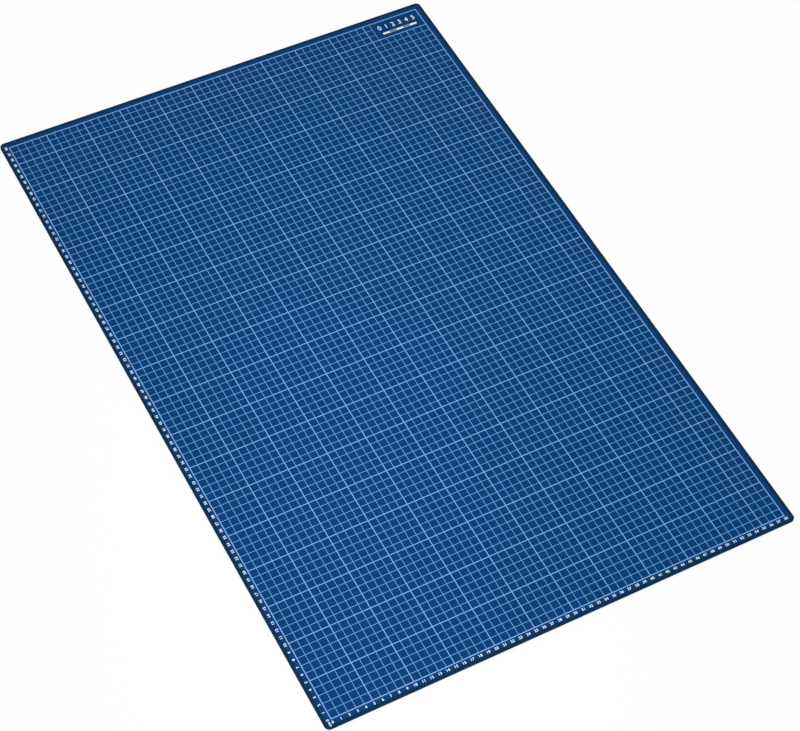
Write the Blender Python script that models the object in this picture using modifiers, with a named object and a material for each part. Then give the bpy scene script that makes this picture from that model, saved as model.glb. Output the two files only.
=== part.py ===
"""A self-healing cutting mat: five bonded plies under a printed centimetre grid.

Metres, +Z up. The mat lies on Z = 0, centred on the Z axis, with its short side along X.
Its printed scales count from the corner at -X, -Y. The grid is laid out from the mat's
sides, and each ply is stacked on the one below.
"""

from math import cos, pi, sin

import bmesh
import bpy

OBJECT_NAME = "cutting_mat"

# Outline of the board
MAT_WIDTH = 0.600
MAT_LENGTH = 0.900
CORNER_RADIUS = 0.006
CORNER_STEPS = 8

# Plies, from the bench up, and the bond line between one ply and the next
BACK_SHEET_THICKNESS = 0.0005
LOWER_HEALING_THICKNESS = 0.0006
CORE_SHEET_THICKNESS = 0.0006
UPPER_HEALING_THICKNESS = 0.0006
FACE_SHEET_THICKNESS = 0.0005
BOND_LINE = 0.00005

# Printed grid: its squares, and the least margin that the numerals need round it
SQUARE = 0.010
LEAST_MARGIN = 0.010
SQUARES_TO_BOLD_LINE = 5
ROUNDING_GUARD = 1e-6

# Printed lines: films of ink that stand proud of the face
FINE_LINE_WIDTH = 0.00060
BOLD_LINE_WIDTH = 0.00100
BORDER_LINE_WIDTH = 0.00110
INK_FILM = 0.00005
INK_SEAT = 0.00002

# Panel in the corner at +X, +Y that the grid leaves bare
PANEL_COLUMNS = 7
PANEL_ROWS = 3

# Finishes: linear colour and roughness
BLUE_FACE = ((0.008, 0.065, 0.223, 1.0), 0.55)
BLUE_BACK = ((0.007, 0.056, 0.190, 1.0), 0.60)
SOFT_BLUE = ((0.015, 0.090, 0.260, 1.0), 0.50)
GREY_CORE = ((0.110, 0.170, 0.250, 1.0), 0.50)
PALE_INK = ((0.600, 0.740, 0.880, 1.0), 0.45)


def clear_scene():
    """Remove whatever the file holds."""
    for old in list(bpy.data.objects):
        bpy.data.objects.remove(old, do_unlink=True)


def make_material(name, finish):
    """A plain Principled material from a colour and a roughness."""
    colour, roughness = finish
    material = bpy.data.materials.new(name)
    material.use_nodes = True
    shader = material.node_tree.nodes["Principled BSDF"]
    shader.inputs["Base Color"].default_value = colour
    shader.inputs["Roughness"].default_value = roughness
    shader.inputs["Metallic"].default_value = 0.0
    return material


def rounded_rectangle(width, length, radius, steps):
    """Points round a rectangle centred on the origin, with an arc at each corner."""
    points = []
    for quarter, (side_x, side_y) in enumerate([(1, 1), (-1, 1), (-1, -1), (1, -1)]):
        centre_x = side_x * (width / 2 - radius)
        centre_y = side_y * (length / 2 - radius)
        for step in range(steps + 1):
            angle = (quarter + step / steps) * pi / 2
            points.append((centre_x + radius * cos(angle), centre_y + radius * sin(angle)))
    return points


def make_ply(name, thickness, bottom, finish, collection):
    """One ply of the board: a flat outline, thickened evenly about its middle."""
    outline = rounded_rectangle(MAT_WIDTH, MAT_LENGTH, CORNER_RADIUS, CORNER_STEPS)
    curve = bpy.data.curves.new(name, "CURVE")
    curve.dimensions = "2D"
    curve.fill_mode = "BOTH"
    curve.extrude = thickness / 2
    spline = curve.splines.new("POLY")
    spline.points.add(len(outline) - 1)
    for point, (x, y) in zip(spline.points, outline):
        point.co = (x, y, 0.0, 1.0)
    spline.use_cyclic_u = True
    curve.materials.append(make_material(name, finish))
    ply = bpy.data.objects.new(name, curve)
    ply.location.z = bottom + thickness / 2
    collection.objects.link(ply)


def stack_plies(collection):
    """The five plies, from the bench up. Returns the height of the cutting face."""
    plies = [
        ("back_sheet", BACK_SHEET_THICKNESS, BLUE_BACK),
        ("lower_healing_ply", LOWER_HEALING_THICKNESS, SOFT_BLUE),
        ("core_sheet", CORE_SHEET_THICKNESS, GREY_CORE),
        ("upper_healing_ply", UPPER_HEALING_THICKNESS, SOFT_BLUE),
        ("face_sheet", FACE_SHEET_THICKNESS, BLUE_FACE),
    ]
    bottom = 0.0
    for name, thickness, finish in plies:
        make_ply(name, thickness, bottom, finish, collection)
        top = bottom + thickness
        bottom = top + BOND_LINE
    return top


class Line:
    """One printed line: its low and high sides across the grid."""

    def __init__(self, place, width):
        self.low = place - width / 2
        self.high = place + width / 2


def whole_squares(side):
    """How many whole squares fit between the margins of a side."""
    return int((side - 2 * LEAST_MARGIN) / SQUARE + ROUNDING_GUARD)


def grid_lines(side):
    """The lines across one side of the mat, centred on zero and counted from the low end."""
    squares = whole_squares(side)
    lines = []
    for number in range(squares + 1):
        if number in (0, squares):
            width = BORDER_LINE_WIDTH
        elif number % SQUARES_TO_BOLD_LINE == 0:
            width = BOLD_LINE_WIDTH
        else:
            width = FINE_LINE_WIDTH
        lines.append(Line((number - squares / 2) * SQUARE, width))
    return lines


def both_sides(lines):
    """The low and high side of each line, in order."""
    return [side for line in lines for side in (line.low, line.high)]


def ladder_gaps(rails, ties, panel_rails):
    """The gaps of a ladder: rails that three ties join, at its two ends and at the panel.

    A gap is (low, high) across the rails, then (low, high) along them. The middle tie is
    only as long as the panel, and the last gap is the panel itself.
    """
    near_tie, panel_tie, far_tie = ties
    panel_start = len(rails) - 1 - panel_rails
    gaps = []
    for number, (rail, following) in enumerate(zip(rails, rails[1:])):
        end = far_tie if number < panel_start else panel_tie
        gaps.append((rail.high, following.low, near_tie.high, end.low))
    gaps.append((rails[panel_start].high, rails[-1].low, panel_tie.high, far_tie.low))
    return gaps


def is_gap(across, along, gaps):
    """Whether a place lies in one of a ladder's gaps."""
    return any(a < across < b and c < along < d for a, b, c, d in gaps)


def ladder_surface(rails, ties, gaps):
    """A flat ladder with its rails along Y: a cut-up sheet, less its gaps."""
    across = both_sides(rails)
    along = both_sides(ties)
    surface = bmesh.new()
    bmesh.ops.create_grid(surface, x_segments=len(across) - 1, y_segments=len(along) - 1)
    for number, vert in enumerate(surface.verts):
        row, column = divmod(number, len(across))
        vert.co = (across[column], along[row], 0.0)
    centres = [(face, face.calc_center_median()) for face in surface.faces]
    open_cells = [face for face, centre in centres if is_gap(centre.x, centre.y, gaps)]
    bmesh.ops.delete(surface, geom=open_cells, context="FACES")
    return surface


def join_rail_cells(surface):
    """Make each plain stretch of rail one face, where only its own sides meet its ends."""
    spare = [
        edge
        for edge in surface.edges
        if len(edge.link_faces) == 2 and all(len(vert.link_edges) == 3 for vert in edge.verts)
    ]
    bmesh.ops.dissolve_edges(surface, edges=spare, use_verts=True)


def print_film(name, surface, bottom, collection):
    """A film of ink on Z = bottom, thickened up from a flat surface."""
    mesh = bpy.data.meshes.new(name)
    surface.to_mesh(mesh)
    surface.free()
    mesh.materials.append(make_material(name, PALE_INK))
    film = bpy.data.objects.new(name, mesh)
    film.location.z = bottom
    collection.objects.link(film)
    thicken = film.modifiers.new("Film", "SOLIDIFY")
    thicken.thickness = INK_FILM
    thicken.offset = 1.0


def print_lengthways_lines(columns, rows, bottom, collection):
    """The lines along Y, joined by the border's two ends and the panel's near edge."""
    ties = (rows[0], rows[-1 - PANEL_ROWS], rows[-1])
    surface = ladder_surface(columns, ties, ladder_gaps(columns, ties, PANEL_COLUMNS))
    join_rail_cells(surface)
    print_film("printed_lengthways_lines", surface, bottom, collection)


def print_crossways_lines(columns, rows, bottom, collection):
    """The lines along X, joined by the border's two sides and the panel's near edge."""
    ties = (columns[0], columns[-1 - PANEL_COLUMNS], columns[-1])
    surface = ladder_surface(rows, ties, ladder_gaps(rows, ties, PANEL_ROWS))
    join_rail_cells(surface)
    for vert in surface.verts:
        vert.co = vert.co.yxz
    bmesh.ops.reverse_faces(surface, faces=surface.faces)
    print_film("printed_crossways_lines", surface, bottom, collection)


def build_cutting_mat():
    """Stack the plies, then lay the two films of ink on the face."""
    clear_scene()
    collection = bpy.data.collections.new(OBJECT_NAME)
    bpy.context.scene.collection.children.link(collection)
    face_height = stack_plies(collection)
    columns = grid_lines(MAT_WIDTH)
    rows = grid_lines(MAT_LENGTH)
    first_film = face_height + INK_SEAT
    second_film = first_film + INK_FILM + INK_SEAT
    print_lengthways_lines(columns, rows, first_film, collection)
    print_crossways_lines(columns, rows, second_film, collection)


build_cutting_mat()
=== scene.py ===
"""Looks of the self-healing cutting mat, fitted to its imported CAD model.

Metres, in the CAD's frame: the mat lies on Z = 0, centred on the Z axis, with its short side
along X. The CAD gives the plies' boxes and the two nets of printed lines. This script gives
the plies their soft rims, prints the numbers and the corner panel, and dresses every surface
in a finish of its own.
"""

import logging
import math
from collections.abc import Iterable, Sequence
from dataclasses import dataclass, field, replace
from enum import Enum
from functools import cache

import bmesh
import bpy
from mathutils import Matrix, Quaternion, Vector


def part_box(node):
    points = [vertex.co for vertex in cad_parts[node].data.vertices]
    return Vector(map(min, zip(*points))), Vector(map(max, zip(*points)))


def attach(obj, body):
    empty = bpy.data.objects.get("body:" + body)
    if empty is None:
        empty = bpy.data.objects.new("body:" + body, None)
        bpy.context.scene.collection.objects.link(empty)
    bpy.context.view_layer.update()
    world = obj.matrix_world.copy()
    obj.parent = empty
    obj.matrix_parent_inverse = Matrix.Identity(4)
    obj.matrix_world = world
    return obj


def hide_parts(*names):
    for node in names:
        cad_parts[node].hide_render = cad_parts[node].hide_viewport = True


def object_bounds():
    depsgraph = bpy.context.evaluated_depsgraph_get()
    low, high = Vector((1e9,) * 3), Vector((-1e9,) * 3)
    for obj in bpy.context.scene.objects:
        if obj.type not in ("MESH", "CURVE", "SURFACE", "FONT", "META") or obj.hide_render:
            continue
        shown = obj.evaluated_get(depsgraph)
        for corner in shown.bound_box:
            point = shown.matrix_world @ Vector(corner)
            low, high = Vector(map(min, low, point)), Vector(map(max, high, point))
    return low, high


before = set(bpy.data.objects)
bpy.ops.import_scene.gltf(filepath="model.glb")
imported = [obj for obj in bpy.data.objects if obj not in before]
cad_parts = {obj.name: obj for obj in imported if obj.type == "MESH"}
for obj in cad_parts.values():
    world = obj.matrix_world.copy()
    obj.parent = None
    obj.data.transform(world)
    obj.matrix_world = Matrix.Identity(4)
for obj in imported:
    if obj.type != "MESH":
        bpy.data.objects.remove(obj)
CAD_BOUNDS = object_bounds()

LOG = logging.getLogger("cutting_mat")
BODY = "root"
QUARTER_TURN = math.pi / 2

# How a mesh is welded, matched and joined: in metres and radians
HAIR = 2.5e-5
SAME_HEIGHT = 1e-6
SAME_PLANE = math.radians(0.5)
LEAST_SQUARE = math.radians(86)
# The least upright part of a level face's normal
LEVEL = 0.999

Colour = tuple[float, float, float]
Place = tuple[float, float, float]
Setting = str | int | float | bool

WHITE: Colour = (1.0, 1.0, 1.0)
NOISE_MEAN = 0.5


class Signal:
    """A shader socket that takes part in Python expressions."""

    def __init__(self, graph: "ShaderGraph", socket: bpy.types.NodeSocket) -> None:
        """Keep the socket and the graph that it belongs to."""
        self.graph = graph
        self.socket = socket

    def __add__(self, other: "Signal | float") -> "Signal":
        """This value plus another."""
        return self.graph.maths("ADD", self, other)

    def __radd__(self, other: float) -> "Signal":
        """A number plus this value."""
        return self.graph.maths("ADD", other, self)

    def __sub__(self, other: "Signal | float") -> "Signal":
        """This value less another."""
        return self.graph.maths("SUBTRACT", self, other)

    def __rsub__(self, other: float) -> "Signal":
        """A number less this value."""
        return self.graph.maths("SUBTRACT", other, self)

    def __mul__(self, other: "Signal | float") -> "Signal":
        """This value times another."""
        return self.graph.maths("MULTIPLY", self, other)

    def __abs__(self) -> "Signal":
        """This value without its sign."""
        return self.graph.maths("ABSOLUTE", self)


Feed = Signal | float | Sequence[float]


def opaque(colour: Signal | Colour) -> Feed:
    """A colour as a colour socket takes it: a plain one gets an alpha of 1."""
    return colour if isinstance(colour, Signal) else (*colour, 1.0)


class Detail(Enum):
    """How many layers of finer bumps lie on a noise."""

    FEW = 1.0
    SOME = 2.0
    MANY = 3.0


class ShaderGraph:
    """A node tree that is written as expressions."""

    def __init__(self, owner: bpy.types.Material | bpy.types.World, ending: str) -> None:
        """Empty the owner's tree and give it its output.

        Args:
            owner: The material or world that the tree belongs to.
            ending: The type of its output node.
        """
        owner.use_nodes = True
        self.tree = owner.node_tree
        self.tree.nodes.clear()
        self.ending = self.tree.nodes.new(ending)

    @staticmethod
    def pick(sockets: Iterable[bpy.types.NodeSocket], key: str | int) -> bpy.types.NodeSocket:
        """Find a socket.

        Args:
            sockets: A node's inputs or outputs.
            key: The socket's identifier or, where none has it, its name or number.

        Returns:
            The socket.
        """
        known = {socket.identifier: socket for socket in sockets}
        return known[key] if key in known else sockets[key]

    def feed(self, socket: bpy.types.NodeSocket, value: Feed) -> None:
        """Link a signal to a socket, or set the socket to a constant.

        Args:
            socket: The socket.
            value: The signal or the constant.
        """
        if isinstance(value, Signal):
            self.tree.links.new(value.socket, socket)
        else:
            socket.default_value = value

    def node(
        self,
        kind: str,
        settings: dict[str, Setting] | None = None,
        sockets: dict[str | int, Feed] | None = None,
        output: str | int = 0,
    ) -> Signal:
        """Add a node.

        Args:
            kind: The node's type.
            settings: Its own settings, which are set before its sockets.
            sockets: The value or link of each input that doesn't keep its default.
            output: The output that is read.

        Returns:
            That output.
        """
        made = self.tree.nodes.new(kind)
        for name, value in (settings or {}).items():
            setattr(made, name, value)
        for key, value in (sockets or {}).items():
            self.feed(self.pick(made.inputs, key), value)
        return Signal(self, self.pick(made.outputs, output))

    def maths(self, operation: str, *values: Signal | float) -> Signal:
        """A Math node on one or two values."""
        return self.node("ShaderNodeMath", {"operation": operation}, dict(enumerate(values)))

    def ramped(self, value: Signal, start: float, end: float) -> Signal:
        """A smooth rise from 0, where the value is at its start, to 1, at its end."""
        sockets = {"Value": value, "From Min": start, "From Max": end}
        return self.node("ShaderNodeMapRange", {"interpolation_type": "SMOOTHSTEP"}, sockets)

    def scaled(self, vector: Signal | Colour, factor: Signal | float) -> Signal:
        """A colour or vector times a number, channel by channel."""
        sockets = {0: vector, "Scale": factor}
        return self.node("ShaderNodeVectorMath", {"operation": "SCALE"}, sockets)

    def mixed(self, factor: Signal, first: Signal | Colour, second: Signal | Colour) -> Signal:
        """A blend from the first colour, at 0, to the second, at 1."""
        sockets = {"Factor_Float": factor, "A_Color": opaque(first), "B_Color": opaque(second)}
        return self.node("ShaderNodeMix", {"data_type": "RGBA"}, sockets, "Result_Color")

    def place(self) -> Signal:
        """Where a point lies in the mat's frame, in metres."""
        return self.node("ShaderNodeTexCoord", output="Object")

    def coordinate(self, place: Signal, axis: str) -> Signal:
        """One coordinate of a place: X, Y or Z."""
        return self.node("ShaderNodeSeparateXYZ", None, {0: place}, axis)

    def in_view(self) -> Signal:
        """Tell the eye's own rays from the light's.

        Returns:
            1 where the eye looks, straight or through a gloss or a glass, and otherwise 0.
        """
        rays = ("Is Camera Ray", "Is Glossy Ray", "Is Transmission Ray")
        camera, glossy, clear = (self.node("ShaderNodeLightPath", output=ray) for ray in rays)
        return self.maths("MAXIMUM", self.maths("MAXIMUM", camera, glossy), clear)

    def length(self, vector: Signal) -> Signal:
        """How long a vector is."""
        return self.node("ShaderNodeVectorMath", {"operation": "LENGTH"}, {0: vector}, "Value")

    def stretched(self, place: Signal, along: Sequence[float]) -> Signal:
        """A place whose axes are shrunk, which draws a pattern out along them."""
        sockets = {"Vector": place, "Scale": along}
        return self.node("ShaderNodeMapping", {"vector_type": "POINT"}, sockets)

    def noise(self, place: Signal, size: float, detail: Detail) -> Signal:
        """Smooth noise between 0 and 1.

        Args:
            place: Where it is read.
            size: The width of one of its bumps, in metres.
            detail: How much finer detail lies on them.

        Returns:
            The noise.
        """
        sockets = {"Vector": place, "Scale": 1.0 / size, "Detail": detail.value}
        return self.node("ShaderNodeTexNoise", None, sockets)

    def drift(self, noise: Signal, share: float) -> Signal:
        """A change about zero that follows a noise and is as wide as a share."""
        return (noise - NOISE_MEAN) * share

    def bent(self, height: Signal, depth: float) -> Signal:
        """The normal over a relief from 0 to 1 that is so many metres deep."""
        return self.node("ShaderNodeBump", None, {"Height": height, "Distance": depth})

    def end(self, shader: Signal) -> None:
        """Give the tree's output the shader that it shows."""
        self.feed(self.ending.inputs["Surface"], shader)


def new_material(name: str) -> tuple[bpy.types.Material, ShaderGraph]:
    """Start a material.

    Args:
        name: Its name.

    Returns:
        The material and its empty tree.
    """
    material = bpy.data.materials.new(name)
    return material, ShaderGraph(material, "ShaderNodeOutputMaterial")


@dataclass(frozen=True)
class MattVinyl:
    """A sheet of vinyl with a fine matt grain and a colour that clouds a little, with painted shade
    in the grain's pits and, where its rim tint is set, along its rim.

    Attributes:
        name: The material's name.
        colour: The linear colour.
        clouding: The share by which the colour drifts over the sheet.
        cloud_size: The width of one cloud, in metres.
        graining: The share by which the colour drifts from grain to grain, darker where the grain's
            relief is low: the grain's own tone and a painted shade in its pits.
        grain_size: The width of one grain, in metres.
        grain_depth: The depth of the grain, in metres.
        roughness: The mean roughness.
        roughness_drift: How far the roughness drifts from grain to grain.
        gloss: The specular level.
        rim_tint: The share of each channel of the colour that shows at the sheet's very edge: a
            painted shade that makes the rim darker and less blue.
        rim_start: How far in from the edge that painted shade begins to clear, in metres.
        rim_end: How far in from the edge it has cleared, in metres.
    """

    name: str
    colour: Colour
    clouding: float = 0.10
    cloud_size: float = 0.16
    graining: float = 0.30
    grain_size: float = 0.0006
    grain_depth: float = 0.00005
    roughness: float = 0.62
    roughness_drift: float = 0.16
    gloss: float = 0.04
    rim_tint: Colour = (1.0, 1.0, 1.0)
    rim_start: float = 0.0018
    rim_end: float = 0.0060

    def tint(self, graph: ShaderGraph, place: Signal) -> Signal:
        """The sheet's colour, which a painted shade darkens and makes less blue at its very edge.

        Args:
            graph: The material's tree.
            place: Where it is read.

        Returns:
            The colour.
        """
        # Painted shade: the colour turns darker and less blue in the outermost few millimetres,
        # where the rim is in shade.
        half_width, half_length, _ = CAD_BOUNDS[1]
        from_side = half_width - abs(graph.coordinate(place, "X"))
        from_end = half_length - abs(graph.coordinate(place, "Y"))
        inwards = graph.maths("MINIMUM", from_side, from_end)
        clear = graph.ramped(inwards, self.rim_start, self.rim_end)
        red, green, blue = (share * part for share, part in zip(self.rim_tint, self.colour))
        return graph.mixed(clear, (red, green, blue), self.colour)

    @cache
    def material(self) -> bpy.types.Material:
        """Make the material, the first time that it is asked for.

        Returns:
            The material.
        """
        material, graph = new_material(self.name)
        place = graph.place()
        clouds = graph.noise(place, self.cloud_size, Detail.MANY)
        grain = graph.noise(place, self.grain_size, Detail.SOME)
        # The grain's colour drift follows the same noise as its bump: the grain's own tone and a
        # painted shade in its pits.
        shade = 1.0 + graph.drift(clouds, self.clouding) + graph.drift(grain, self.graining)
        sockets = {
            "Base Color": graph.scaled(self.tint(graph, place), shade),
            "Roughness": self.roughness + graph.drift(grain, self.roughness_drift),
            "Specular IOR Level": self.gloss,
            "Normal": graph.bent(grain, self.grain_depth),
        }
        graph.end(graph.node("ShaderNodeBsdfPrincipled", None, sockets))
        return material


@dataclass(frozen=True)
class CutVinyl:
    """The cut edge of an inner ply, with the fine marks of the knife that trimmed it.

    Attributes:
        name: The material's name.
        colour: The linear colour.
        streaking: The share by which the colour drifts from mark to mark.
        mark_width: The width of one knife mark, in metres.
        mark_stretch: How many times longer a mark is through the ply than along it.
        mark_depth: The depth of a mark, in metres.
        roughness: The roughness.
        gloss: The specular level.
    """

    name: str
    colour: Colour
    streaking: float = 0.18
    mark_width: float = 0.0004
    mark_stretch: float = 8.0
    mark_depth: float = 0.00004
    roughness: float = 0.6
    gloss: float = 0.03

    @cache
    def material(self) -> bpy.types.Material:
        """Make the material, the first time that it is asked for.

        Returns:
            The material.
        """
        material, graph = new_material(self.name)
        place = graph.stretched(graph.place(), (1.0, 1.0, 1.0 / self.mark_stretch))
        marks = graph.noise(place, self.mark_width, Detail.MANY)
        sockets = {
            "Base Color": graph.scaled(self.colour, 1.0 + graph.drift(marks, self.streaking)),
            "Roughness": self.roughness,
            "Specular IOR Level": self.gloss,
            "Normal": graph.bent(marks, self.mark_depth),
        }
        graph.end(graph.node("ShaderNodeBsdfPrincipled", None, sockets))
        return material


@dataclass(frozen=True)
class ScreenInk:
    """A film of white ink, which lets more or less of the blue face show through.

    Attributes:
        name: The material's name.
        film: The ink's own linear colour.
        under: The linear colour of the face below.
        cover: How much of the face the film hides, from 0 to 1.
        patchiness: How far the cover drifts over the print.
        patch_size: The width of one thin patch, in metres.
        speckle: How far the cover drifts from grain to grain of the vinyl below.
        speckle_size: The width of one grain, in metres.
        roughness: The roughness.
        gloss: The specular level.
    """

    name: str
    film: Colour
    under: Colour
    cover: float
    patchiness: float = 0.16
    patch_size: float = 0.0025
    speckle: float = 0.22
    speckle_size: float = 0.00035
    roughness: float = 0.55
    gloss: float = 0.04

    def tint(self, graph: ShaderGraph, place: Signal) -> Signal | Colour:
        """The film's colour at a place."""
        return self.film

    @cache
    def material(self) -> bpy.types.Material:
        """Make the material, the first time that it is asked for.

        Returns:
            The material.
        """
        material, graph = new_material(self.name)
        place = graph.place()
        patches = graph.noise(place, self.patch_size, Detail.MANY)
        grains = graph.noise(place, self.speckle_size, Detail.FEW)
        thin = graph.drift(patches, self.patchiness) + graph.drift(grains, self.speckle)
        cover = self.cover + thin
        sockets = {
            "Base Color": graph.mixed(cover, self.under, self.tint(graph, place)),
            "Roughness": self.roughness,
            "Specular IOR Level": self.gloss,
        }
        graph.end(graph.node("ShaderNodeBsdfPrincipled", None, sockets))
        return material


@dataclass(frozen=True)
class LineInk(ScreenInk):
    """The film on the grid's lines, which is fuller and so paler on the bold ones.

    Attributes:
        bold_film: The ink's linear colour on the bold lines and the border.
        bold_spacing: From one bold line to the next, in metres.
        bold_reach: How far from its middle a bold line reaches, in metres.
        half_width: From the middle of the grid to its sides, in metres.
        half_length: From the middle of the grid to its ends, in metres.
    """

    bold_film: Colour = (0.225, 0.48, 0.90)
    bold_spacing: float = 0.050
    bold_reach: float = 0.00056
    half_width: float = 0.290
    half_length: float = 0.440

    def on_bold(self, graph: ShaderGraph, coordinate: Signal, half: float) -> Signal:
        """1 on the bold lines that cross an axis, and otherwise 0.

        Args:
            graph: The material's tree.
            coordinate: The coordinate along that axis.
            half: From the middle of the grid to its border along that axis, in metres.

        Returns:
            The mask.
        """
        to_bold = graph.maths("PINGPONG", coordinate + half, self.bold_spacing / 2)
        to_border = half - coordinate
        return graph.maths("LESS_THAN", graph.maths("MINIMUM", to_bold, to_border), self.bold_reach)

    def tint(self, graph: ShaderGraph, place: Signal) -> Signal:
        """The film's colour at a place, which is another on the bold lines.

        Args:
            graph: The material's tree.
            place: Where it is read.

        Returns:
            The colour.
        """
        lengthways = self.on_bold(graph, graph.coordinate(place, "X"), self.half_width)
        crossways = self.on_bold(graph, graph.coordinate(place, "Y"), self.half_length)
        bold = graph.maths("MAXIMUM", lengthways, crossways)
        return graph.mixed(bold, self.film, self.bold_film)


@dataclass(frozen=True)
class WhiteGround:
    """The plain white ground, which keeps a share of the shadow that falls on it.

    From below it is clear, and so it is to the light that reaches the mat's back, so that
    the back can be looked at.

    Attributes:
        name: The material's name.
        albedo: The grey level of its diffuse part.
        shadow_share: How much of what the eye sees is lit, and so takes the shadow.
        shadow_reach: How far from the mat's middle that share begins to fade, in metres.
        shadow_end: How far from it the ground is plain white, in metres.
        clear_reach: How near the mat a ray has to start to pass through, in metres.
    """

    name: str = "white_ground"
    albedo: float = 0.95
    shadow_share: float = 0.12
    shadow_reach: float = 0.6
    shadow_end: float = 2.0
    clear_reach: float = 0.001

    @cache
    def material(self) -> bpy.types.Material:
        """Make the material, the first time that it is asked for.

        Returns:
            The material.
        """
        material, graph = new_material(self.name)
        grey = opaque((self.albedo,) * 3)
        lit = graph.node("ShaderNodeBsdfDiffuse", None, {"Color": grey})
        plain = graph.node("ShaderNodeEmission", None, {"Color": opaque(WHITE)})
        away = graph.ramped(graph.length(graph.place()), self.shadow_reach, self.shadow_end)
        factor = graph.in_view() * (1.0 - (1.0 - away) * self.shadow_share)
        paper = graph.node("ShaderNodeMixShader", None, {"Fac": factor, 1: lit, 2: plain})
        below = graph.node("ShaderNodeNewGeometry", output="Backfacing")
        ray_length = graph.node("ShaderNodeLightPath", output="Ray Length")
        under_mat = graph.maths("LESS_THAN", ray_length, self.clear_reach)
        passes = graph.maths("MAXIMUM", below, under_mat)
        clear = graph.node("ShaderNodeBsdfTransparent")
        graph.end(graph.node("ShaderNodeMixShader", None, {"Fac": passes, 1: paper, 2: clear}))
        return material


FACE_BLUE: Colour = (0.0014, 0.0425, 0.158)

# The face's rim tint is a painted shade along the mat's edge.
FACE_VINYL = MattVinyl("face_vinyl", FACE_BLUE, rim_tint=(1.25, 0.55, 0.42))
BACK_VINYL = MattVinyl("back_vinyl", (0.0024, 0.042, 0.150), roughness=0.68)
HEALING_VINYL = CutVinyl("healing_vinyl", (0.0030, 0.040, 0.130))
CORE_VINYL = CutVinyl("core_vinyl", (0.008, 0.046, 0.100))
LINE_INK = LineInk("line_ink", (0.172, 0.455, 0.88), FACE_BLUE, cover=0.9)
NUMBER_INK = ScreenInk("number_ink", (0.82, 0.95, 1.0), FACE_BLUE, cover=0.96, patchiness=0.12)


def new_piece(
    name: str, shape: bmesh.types.BMesh, finish: bpy.types.Material
) -> bpy.types.Object:
    """Make a shape a piece of the mat.

    Args:
        name: The piece's name.
        shape: Its shape, in place. It is freed.
        finish: Its material.

    Returns:
        The piece.
    """
    mesh = bpy.data.meshes.new(name)
    shape.to_mesh(mesh)
    shape.free()
    mesh.materials.append(finish)
    piece = bpy.data.objects.new(name, mesh)
    bpy.context.scene.collection.objects.link(piece)
    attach(piece, BODY)
    LOG.info("%s: %d faces", name, len(mesh.polygons))
    return piece


def add_block(shape: bmesh.types.BMesh, low: Vector, high: Vector) -> None:
    """Add a block to a shape.

    Args:
        shape: The shape.
        low: The block's lowest corner.
        high: Its highest corner.
    """
    corners = bmesh.ops.create_cube(shape, size=1.0)["verts"]
    bmesh.ops.scale(shape, vec=high - low, verts=corners)
    bmesh.ops.translate(shape, vec=(low + high) / 2, verts=corners)


@dataclass(frozen=True)
class Ply:
    """One sheet of the laminate, on the box of its CAD node.

    Attributes:
        node: The CAD node that it stands for.
        slot: The name of its material slot; not used.
        finish: Its finish.
        top_rim: The radius of its upper rim, in metres.
        bottom_rim: The radius of its lower rim, in metres.
        corner_radius: The radius of the mat's corners, in metres.
        corner_steps: The facets round a corner.
        rim_steps: The facets round a rim.
    """

    node: str
    slot: str
    finish: MattVinyl | CutVinyl
    top_rim: float
    bottom_rim: float
    corner_radius: float = 0.006
    corner_steps: int = 14
    rim_steps: int = 3

    def round_rim(self, shape: bmesh.types.BMesh, height: float, radius: float) -> None:
        """Round the outline at a height.

        Args:
            shape: The ply so far.
            height: The Z of the outline.
            radius: How much it is rounded, in metres.
        """
        rim = [
            edge
            for edge in shape.edges
            if all(math.isclose(vert.co.z, height, abs_tol=SAME_HEIGHT) for vert in edge.verts)
        ]
        bmesh.ops.bevel(
            shape,
            geom=rim,
            offset=radius,
            segments=self.rim_steps,
            profile=0.5,
            affect="EDGES",
            material=-1,
        )

    def build(self) -> bpy.types.Object:
        """Cut the sheet out, round its corners and rims, and dress it.

        Returns:
            The sheet.
        """
        low, high = (Vector(corner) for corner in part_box(self.node))
        shape = bmesh.new()
        add_block(shape, low, high)
        upright = [edge for edge in shape.edges if edge.verts[0].co.xy == edge.verts[1].co.xy]
        bmesh.ops.bevel(
            shape,
            geom=upright,
            offset=self.corner_radius,
            segments=self.corner_steps,
            profile=0.5,
            affect="EDGES",
            material=-1,
        )
        self.round_rim(shape, high.z, self.top_rim)
        self.round_rim(shape, low.z, self.bottom_rim)
        shape.normal_update()
        for face in shape.faces:
            face.smooth = abs(face.normal.z) < LEVEL
        piece = new_piece(f"{self.node}_dressed", shape, self.finish.material())
        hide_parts(self.node)
        return piece


@dataclass
class Laminate:
    """The five bonded plies.

    Attributes:
        outer_rim: The radius of the outer sheets' exposed rims, in metres.
        inner_rim: The slight softness of every other cut rim, in metres.
    """

    outer_rim: float = 0.0003
    inner_rim: float = 0.00006

    def plies(self) -> list[Ply]:
        """Plan the plies.

        Returns:
            The plies, from the bench up.
        """
        soft, outer = self.inner_rim, self.outer_rim
        return [
            Ply("back_sheet", "back_vinyl", BACK_VINYL, top_rim=soft, bottom_rim=outer),
            Ply("lower_healing_ply", "healing_vinyl", HEALING_VINYL, top_rim=soft, bottom_rim=soft),
            Ply("core_sheet", "core_vinyl", CORE_VINYL, top_rim=soft, bottom_rim=soft),
            Ply("upper_healing_ply", "healing_vinyl", HEALING_VINYL, top_rim=soft, bottom_rim=soft),
            Ply("face_sheet", "face_vinyl", FACE_VINYL, top_rim=outer, bottom_rim=soft),
        ]

    def build(self) -> list[bpy.types.Object]:
        """Build every ply."""
        return [ply.build() for ply in self.plies()]


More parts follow.
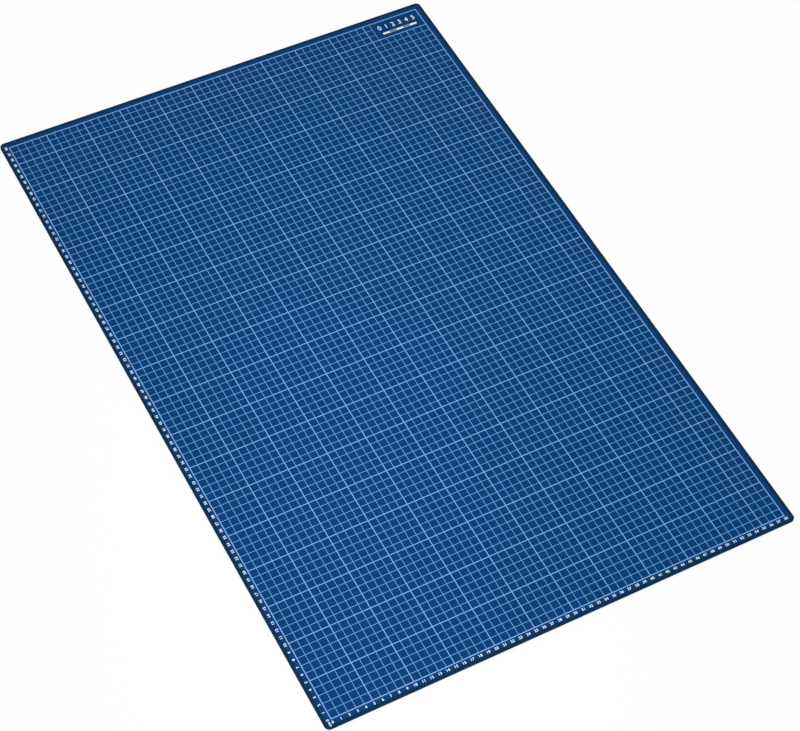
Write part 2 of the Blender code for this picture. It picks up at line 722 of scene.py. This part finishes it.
@dataclass
class PrintedGrid:
    """The printed centimetre grid: the CAD's two nets of lines, and where they lie.

    Attributes:
        lengthways: The net whose lines run along Y.
        crossways: The net whose lines run along X.
        square: The side of one square, in metres.
        squares_to_bold: How many squares lie between two bold lines.
        panel_columns: How many squares wide the bare panel is.
        panel_rows: How many squares high it is.
        columns: How many squares the print is wide.
        rows: How many squares it is high.
        face: The height of the cutting face, in metres.
        seat: The gap between the face and a film of ink, in metres.
        film: The thickness of the film, in metres.
    """

    lengthways: str = "printed_lengthways_lines"
    crossways: str = "printed_crossways_lines"
    square: float = 0.010
    squares_to_bold: int = 5
    panel_columns: int = 7
    panel_rows: int = 3
    columns: int = field(init=False)
    rows: int = field(init=False)
    face: float = field(init=False)
    seat: float = field(init=False)
    film: float = field(init=False)

    def __post_init__(self) -> None:
        """Count the squares that the CAD's border goes round."""
        low, high = (Vector(corner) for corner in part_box(self.lengthways))
        self.columns = round((high.x - low.x) / self.square)
        self.rows = round((high.y - low.y) / self.square)
        self.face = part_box("face_sheet")[1][2]
        self.seat = low.z - self.face
        self.film = high.z - low.z

    def point(self, column: float, row: float) -> Vector:
        """Find a point on the face.

        Args:
            column: How many squares it lies from the zero corner along X.
            row: How many squares it lies from it along Y.

        Returns:
            The point.
        """
        x = (column - self.columns / 2) * self.square
        y = (row - self.rows / 2) * self.square
        return Vector((x, y, self.face))

    def dress(self, finish: LineInk) -> None:
        """Give both nets their ink.

        Args:
            finish: The ink, which is told where the bold lines lie.
        """
        fitted = replace(
            finish,
            bold_spacing=self.squares_to_bold * self.square,
            half_width=self.columns * self.square / 2,
            half_length=self.rows * self.square / 2,
        )
        ink = fitted.material()
        for name in (self.lengthways, self.crossways):
            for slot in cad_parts[name].material_slots:
                slot.material = ink
            LOG.info("%s: dressed", name)


class Reading(Enum):
    """How a line of type is turned on the mat."""

    ALONG_THE_WIDTH = 0.0
    UP_THE_LENGTH = QUARTER_TURN


def thicken(shape: bmesh.types.BMesh, boldness: float) -> None:
    """Move the walls of set type outwards, and each vertex along with its two walls.

    Args:
        shape: The type's walls.
        boldness: How far they move, in metres.
    """
    shape.normal_update()
    steps = []
    for vert in shape.verts:
        first, second = (wall.normal for wall in vert.link_faces)
        steps.append((first + second) * (boldness / (1.0 + first.dot(second))))
    for vert, step in zip(shape.verts, steps):
        vert.co.xy += step.xy


def cap(shape: bmesh.types.BMesh) -> None:
    """Close the walls of set type below and above.

    Args:
        shape: The type's walls, with Z = 0 at half their height.
    """
    rims = [edge for edge in shape.edges if edge.is_boundary]
    for upper in (False, True):
        rim = [edge for edge in rims if (edge.verts[0].co.z > 0.0) == upper]
        bmesh.ops.triangle_fill(shape, edges=rim, use_beauty=True, normal=(0.0, 0.0, 1.0))
    bmesh.ops.recalc_face_normals(shape, faces=shape.faces)
    bmesh.ops.join_triangles(
        shape,
        faces=shape.faces,
        angle_face_threshold=SAME_PLANE,
        angle_shape_threshold=LEAST_SQUARE,
    )


def close_type(mesh: bpy.types.Mesh, boldness: float) -> None:
    """Make closed type from its walls, with its strokes thickened.

    Args:
        mesh: The type's walls, still about its own origin, where its coordinates are finest.
        boldness: How far a stroke is thickened at each side, in metres.
    """
    shape = bmesh.new()
    shape.from_mesh(mesh)
    bmesh.ops.remove_doubles(shape, verts=shape.verts, dist=HAIR)
    thicken(shape, boldness)
    cap(shape)
    shape.to_mesh(mesh)
    shape.free()


@dataclass(frozen=True)
class TypeStyle:
    """How a line of type looks.

    Attributes:
        digit_height: The height of a digit before its strokes are thickened, in metres.
        boldness: How far a stroke is thickened at each side, in metres.
        spacing: How far apart the characters stand, as a multiple of the typeface's own.
        smoothness: The facets of each stretch of a curved stroke.
    """

    digit_height: float
    boldness: float
    spacing: float
    smoothness: int


SCALE_TYPE = TypeStyle(digit_height=0.0030, boldness=0.00012, spacing=1.16, smoothness=4)
PANEL_TYPE = TypeStyle(digit_height=0.0072, boldness=0.0001, spacing=1.0, smoothness=6)


@dataclass
class Typesetter:
    """Sets numbers in a plain typeface, as closed films of ink on the face.

    Attributes:
        grid: The printed grid, whose film of ink the type shares.
        style: How the type looks.
        size: The type size that gives a digit its height.
    """

    grid: PrintedGrid
    style: TypeStyle
    size: float = field(init=False, default=1.0)

    def __post_init__(self) -> None:
        """Find the type size at which a digit has its height."""
        digit = self.outline("0")
        self.size = self.style.digit_height / digit.dimensions.y
        bpy.data.objects.remove(digit)

    def outline(self, text: str) -> bpy.types.Object:
        """A text object in this type, with walls and no caps.

        Args:
            text: The characters.

        Returns:
            The text object, linked to the scene.
        """
        curve = bpy.data.curves.new(text, "FONT")
        curve.body = text
        curve.size = self.size
        curve.space_character = self.style.spacing
        curve.extrude = self.grid.film / 2
        curve.resolution_u = self.style.smoothness
        curve.fill_mode = "NONE"
        holder = bpy.data.objects.new(text, curve)
        bpy.context.scene.collection.objects.link(holder)
        bpy.context.view_layer.update()
        return holder

    def set(self, shape: bmesh.types.BMesh, text: str, place: Vector, reading: Reading) -> None:
        """Add a line of type to a shape, centred on a place.

        Args:
            shape: The shape.
            text: The characters.
            place: The point of the face under their middle.
            reading: How they are turned.
        """
        holder = self.outline(text)
        mesh = bpy.data.meshes.new_from_object(holder)
        bpy.data.objects.remove(holder)
        close_type(mesh, self.style.boldness)
        xs = [vert.co.x for vert in mesh.vertices]
        ys = [vert.co.y for vert in mesh.vertices]
        middle = Vector(((min(xs) + max(xs)) / 2, (min(ys) + max(ys)) / 2, 0.0))
        lift = Vector((0.0, 0.0, self.grid.seat + self.grid.film / 2))
        turn = Matrix.Rotation(reading.value, 4, "Z")
        mesh.transform(Matrix.Translation(place + lift) @ turn @ Matrix.Translation(-middle))
        shape.from_mesh(mesh)
        bpy.data.meshes.remove(mesh)


@dataclass
class EdgeScales:
    """The numbers in the bottom and left margins, and the unit in their corner.

    Attributes:
        grid: The printed grid that they count.
        style: How their type looks.
        bottom_margin: From the border line to the middle of the bottom digits, in metres.
        left_margin: From the border line to the middle of the left digits, in metres.
        unit: The unit that they count in.
        unit_place: Its middle, from the zero corner, in metres.
    """

    grid: PrintedGrid
    style: TypeStyle = SCALE_TYPE
    bottom_margin: float = 0.0039
    left_margin: float = 0.0042
    unit: str = "cm"
    unit_place: tuple[float, float] = (-0.0038, -0.0051)

    def build(self) -> list[bpy.types.Object]:
        """Print both scales.

        Returns:
            The bottom scale and the left scale.
        """
        ink = NUMBER_INK.material()
        typesetter = Typesetter(self.grid, self.style)
        bottom = bmesh.new()
        for number in range(self.grid.columns + 1):
            place = self.grid.point(number, 0) - Vector((0.0, self.bottom_margin, 0.0))
            typesetter.set(bottom, str(number), place, Reading.ALONG_THE_WIDTH)
        left = bmesh.new()
        for number in range(self.grid.rows + 1):
            place = self.grid.point(0, number) - Vector((self.left_margin, 0.0, 0.0))
            typesetter.set(left, str(number), place, Reading.UP_THE_LENGTH)
        corner = self.grid.point(0, 0) + Vector((*self.unit_place, 0.0))
        typesetter.set(left, self.unit, corner, Reading.UP_THE_LENGTH)
        pieces = []
        for name, shape in (("bottom_scale_numbers", bottom), ("left_scale_numbers", left)):
            pieces.append(new_piece(name, shape, ink))
        return pieces


@dataclass
class CornerPanel:
    """The plain bar scale in the panel that the grid leaves bare.

    Attributes:
        grid: The printed grid.
        length: The length of the bar, in squares.
        bar_height: The height of the bar, in metres.
        rail_width: The width of the lines round a hollow square, in metres.
        bar_row: The height of the bar's middle above the panel's foot, in metres.
        number_row: The height of the numbers' middle above the panel's foot, in metres.
        style: How the numbers look.
    """

    grid: PrintedGrid
    length: int = 5
    bar_height: float = 0.0030
    rail_width: float = 0.0005
    bar_row: float = 0.0080
    number_row: float = 0.0190
    style: TypeStyle = PANEL_TYPE

    def add_bar(self, shape: bmesh.types.BMesh, start: Vector) -> None:
        """Add the bar: full squares and hollow ones by turns.

        Args:
            shape: The shape.
            start: The bar's corner at its zero, on the face.
        """
        heights = (0.0, self.rail_width, self.bar_height - self.rail_width, self.bar_height)
        rows = len(heights) - 1
        made = bmesh.ops.create_grid(shape, x_segments=self.length, y_segments=rows, size=1.0)
        for number, vert in enumerate(made["verts"]):
            row, column = divmod(number, self.length + 1)
            vert.co = start + Vector((column * self.grid.square, heights[row], self.grid.seat))
        cells = {face for vert in made["verts"] for face in vert.link_faces}
        hollow = {cell for cell in cells if self.is_hollow(cell.calc_center_median() - start)}
        bmesh.ops.delete(shape, geom=list(hollow), context="FACES")
        full = list(cells - hollow)
        raised = bmesh.ops.extrude_face_region(shape, geom=full, use_keep_orig=True)["geom"]
        top = [part for part in raised if isinstance(part, bmesh.types.BMVert)]
        bmesh.ops.translate(shape, vec=(0.0, 0.0, self.grid.film), verts=top)
        bmesh.ops.recalc_face_normals(shape, faces=shape.faces)

    def is_hollow(self, place: Vector) -> bool:
        """Whether a place on the bar, from its zero corner, lies in a hollow square."""
        between_rails = self.rail_width < place.y < self.bar_height - self.rail_width
        return between_rails and int(place.x / self.grid.square) % 2 == 1

    def build(self) -> bpy.types.Object:
        """Print the bar and its numbers.

        Returns:
            The bar scale.
        """
        grid = self.grid
        start = grid.columns - (grid.panel_columns + self.length) / 2
        foot = grid.point(start, grid.rows - grid.panel_rows)
        typesetter = Typesetter(grid, self.style)
        shape = bmesh.new()
        self.add_bar(shape, foot + Vector((0.0, self.bar_row - self.bar_height / 2, 0.0)))
        for number in range(self.length + 1):
            place = foot + Vector((number * grid.square, self.number_row, 0.0))
            typesetter.set(shape, str(number), place, Reading.ALONG_THE_WIDTH)
        return new_piece("corner_bar_scale", shape, NUMBER_INK.material())


@dataclass(frozen=True)
class StripLamp:
    """A long soft lamp that hangs over the mat and shines straight down.

    Attributes:
        place: Its middle, in metres.
        length: Its length, in metres.
        width: Its width, in metres.
        heading: Which way it points, in degrees from the X axis.
        power: Its power, in watts.
    """

    place: Place = (-0.15, -0.24, 0.45)
    length: float = 1.1
    width: float = 0.15
    heading: float = 67.0
    power: float = 1.25

    def hang(self) -> None:
        """Hang the lamp, out of the camera's sight."""
        light = bpy.data.lights.new("strip_lamp", "AREA")
        light.shape = "RECTANGLE"
        light.size = self.length
        light.size_y = self.width
        light.energy = self.power
        lamp = bpy.data.objects.new("strip_lamp", light)
        lamp.location = self.place
        lamp.rotation_euler.z = math.radians(self.heading)
        lamp.visible_camera = False
        bpy.context.scene.collection.objects.link(lamp)


@dataclass(frozen=True)
class CameraStand:
    """The camera, where the photographer held it.

    Attributes:
        eye: Where it stands, in metres.
        aim: The point of the face on its axis, in metres.
        roll: How far it leans, in degrees.
        lens: The focal length on a 36 mm sensor, in millimetres.
        shift: The sideways shift of the frame, as a share of its width.
    """

    eye: Place = (-0.8612, -1.3434, 2.1222)
    aim: Place = (-0.0486, -0.0463, 0.0031)
    roll: float = 5.373
    lens: float = 99.9
    shift: float = 0.05

    def place(self) -> None:
        """Stand the camera and make it the scene's."""
        data = bpy.data.cameras.new("camera")
        data.lens = self.lens
        data.shift_x = self.shift
        camera = bpy.data.objects.new("camera", data)
        camera.location = self.eye
        camera.rotation_mode = "QUATERNION"
        level = (Vector(self.aim) - Vector(self.eye)).to_track_quat("-Z", "Y")
        lean = Quaternion((0.0, 0.0, 1.0), math.radians(self.roll))
        camera.rotation_quaternion = level @ lean
        bpy.context.scene.collection.objects.link(camera)
        bpy.context.scene.camera = camera


@dataclass
class Studio:
    """The white ground, the light and the camera.

    Attributes:
        ground_size: The side of the ground, in metres.
        ground_gap: How far the ground lies below the mat, in metres.
        ambient: The strength of the light from all round.
        lamp: The lamp over the mat.
        camera: The camera.
    """

    ground_size: float = 30.0
    ground_gap: float = 0.0001
    ambient: float = 0.86
    lamp: StripLamp = StripLamp()
    camera: CameraStand = CameraStand()

    def lay_ground(self) -> None:
        """Lay the ground under the mat."""
        shape = bmesh.new()
        bmesh.ops.create_grid(shape, x_segments=1, y_segments=1, size=self.ground_size / 2)
        bmesh.ops.translate(shape, vec=(0.0, 0.0, -self.ground_gap), verts=shape.verts)
        mesh = bpy.data.meshes.new("ground")
        shape.to_mesh(mesh)
        shape.free()
        mesh.materials.append(WhiteGround().material())
        ground = bpy.data.objects.new("ground", mesh)
        bpy.context.scene.collection.objects.link(ground)

    def light_the_room(self) -> None:
        """White all round: plain to the eye, softer to what it lights."""
        world = bpy.data.worlds.new("white_room")
        graph = ShaderGraph(world, "ShaderNodeOutputWorld")
        strength = self.ambient + graph.in_view() * (1.0 - self.ambient)
        sockets = {"Color": opaque(WHITE), "Strength": strength}
        graph.end(graph.node("ShaderNodeBackground", None, sockets))
        bpy.context.scene.world = world

    def set_up(self) -> None:
        """Set up everything that isn't the mat."""
        self.lay_ground()
        self.light_the_room()
        self.lamp.hang()
        self.camera.place()
        bpy.context.scene.view_settings.view_transform = "Standard"


def main() -> None:
    """Dress the mat, piece by piece, and set up the studio round it."""
    logging.basicConfig(level=logging.INFO, format="%(name)s: %(message)s")
    pieces = Laminate().build()
    grid = PrintedGrid()
    grid.dress(LINE_INK)
    pieces += EdgeScales(grid).build()
    pieces.append(CornerPanel(grid).build())
    LOG.info("%d pieces built", len(pieces))
    Studio().set_up()


if __name__ == "__main__":
    main()
